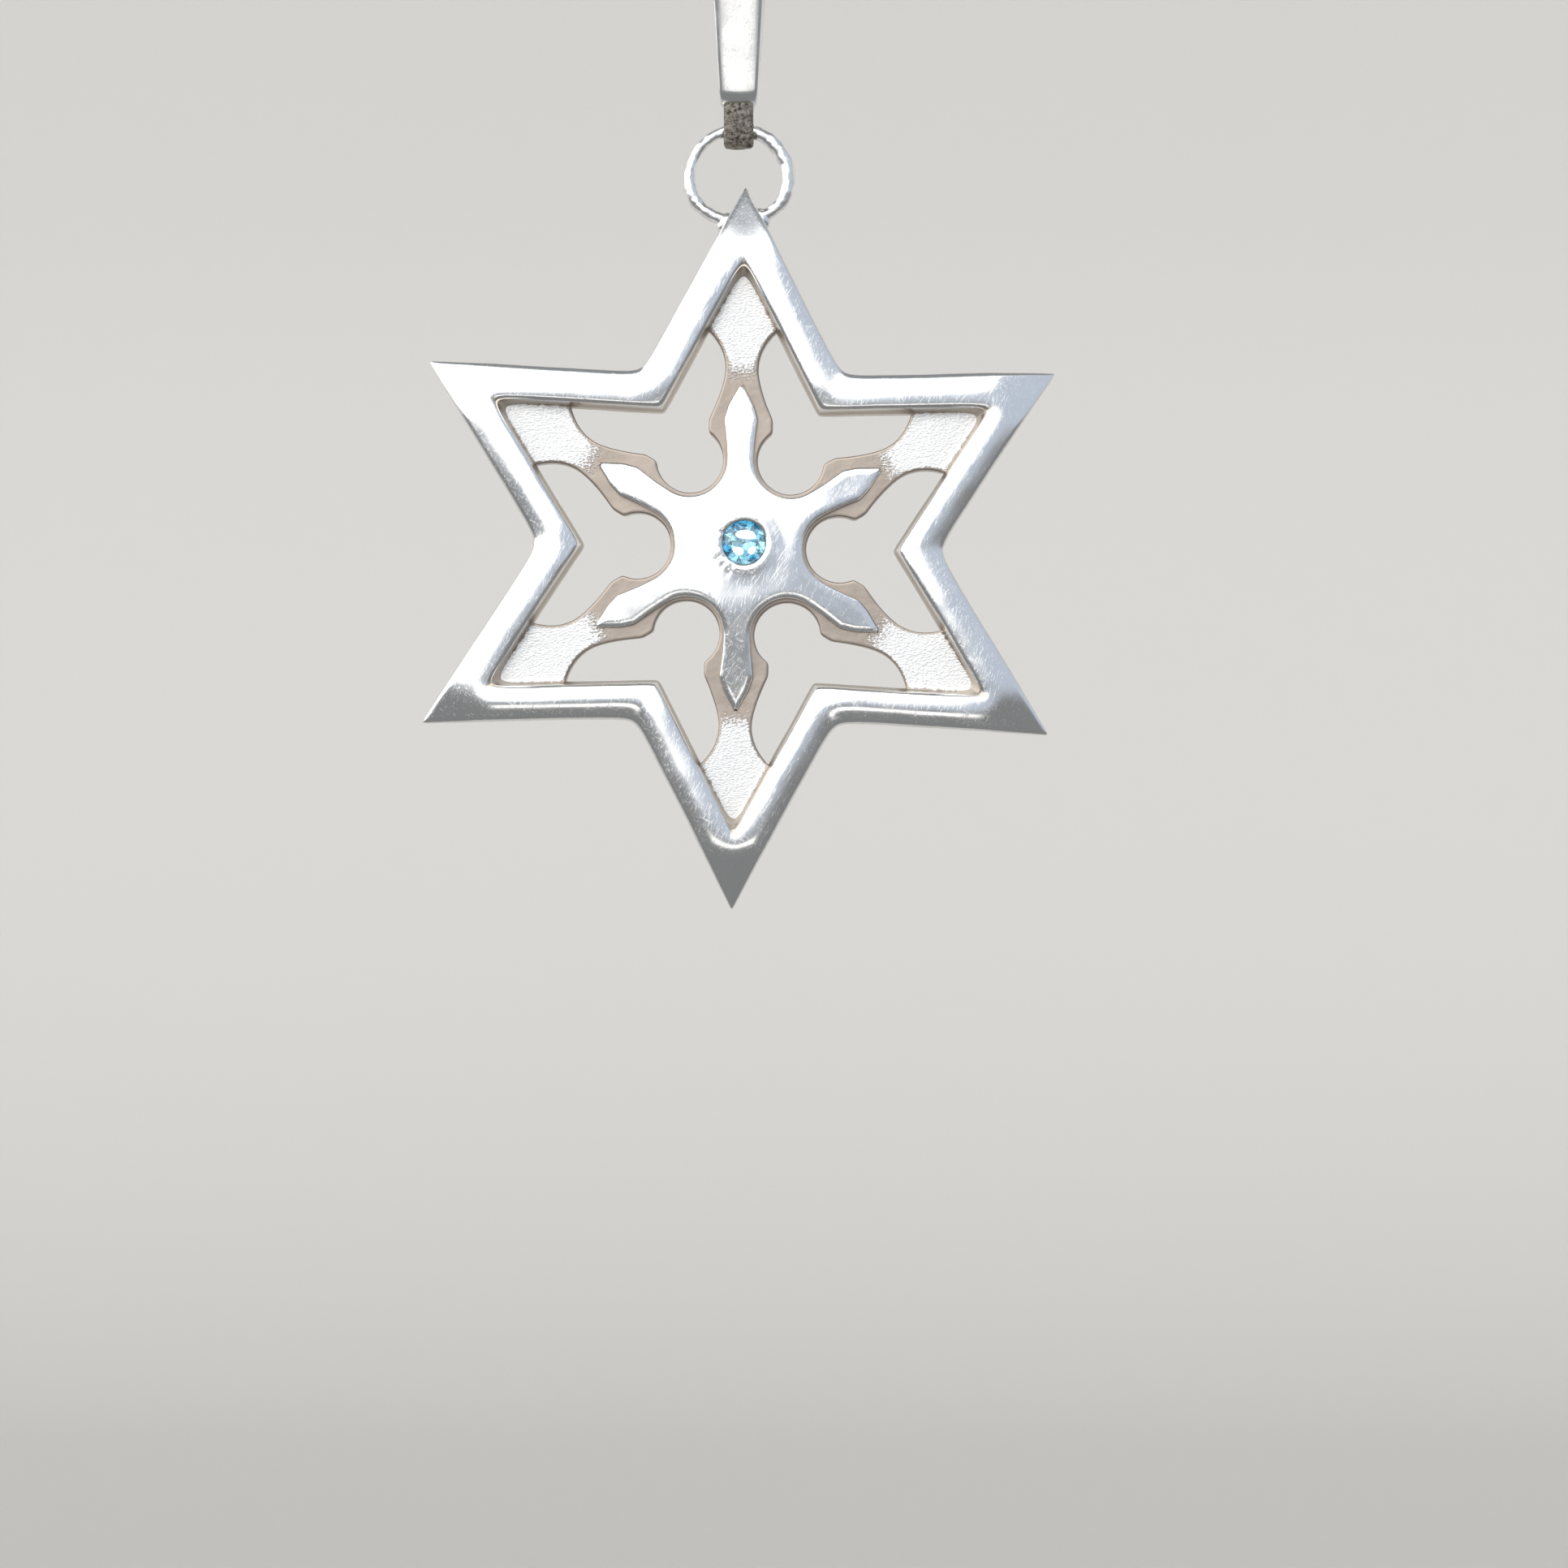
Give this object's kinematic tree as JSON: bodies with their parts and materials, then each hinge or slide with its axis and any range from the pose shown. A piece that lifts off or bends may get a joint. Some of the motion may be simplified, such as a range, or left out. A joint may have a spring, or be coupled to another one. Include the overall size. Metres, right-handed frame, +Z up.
{
  "type": "star of david pendant",
  "caption": "Cast silver six-pointed star with a raised border, a pierced plate, a raised inner star and a round blue stone, on a soldered jump ring and a tapered bail.",
  "frame": {"origin": "inside top of the bail, at the middle of its width, where a chain carries the pendant", "axes": "+Z up, the star's face looks along -Y, +X to the right as seen from the front; the bail and the ring hang in the plane X = 0, and the ring's plane is Y = 0"},
  "size_m": [0.0216, 0.0038, 0.0348],
  "materials": {
    "silver": "polished sterling silver with fine hand-polishing scratches",
    "silver_matte": "bright matte silver with a fine woven grain, as cast",
    "silver_cast": "rough unpolished cast silver",
    "stone": "clear sky-blue faceted gem"
  },
  "bodies": {
    "bail": {"bail": "silver"},
    "star": {"star": "silver", "stone": "stone"}
  },
  "joints": [
    {"name": "star_swing", "type": "hinge", "parent": "bail", "child": "star", "pos_m": [0, 0, -0.00736], "axis": [1, 0, 0], "range_deg": [-135, 135]}
  ]
}
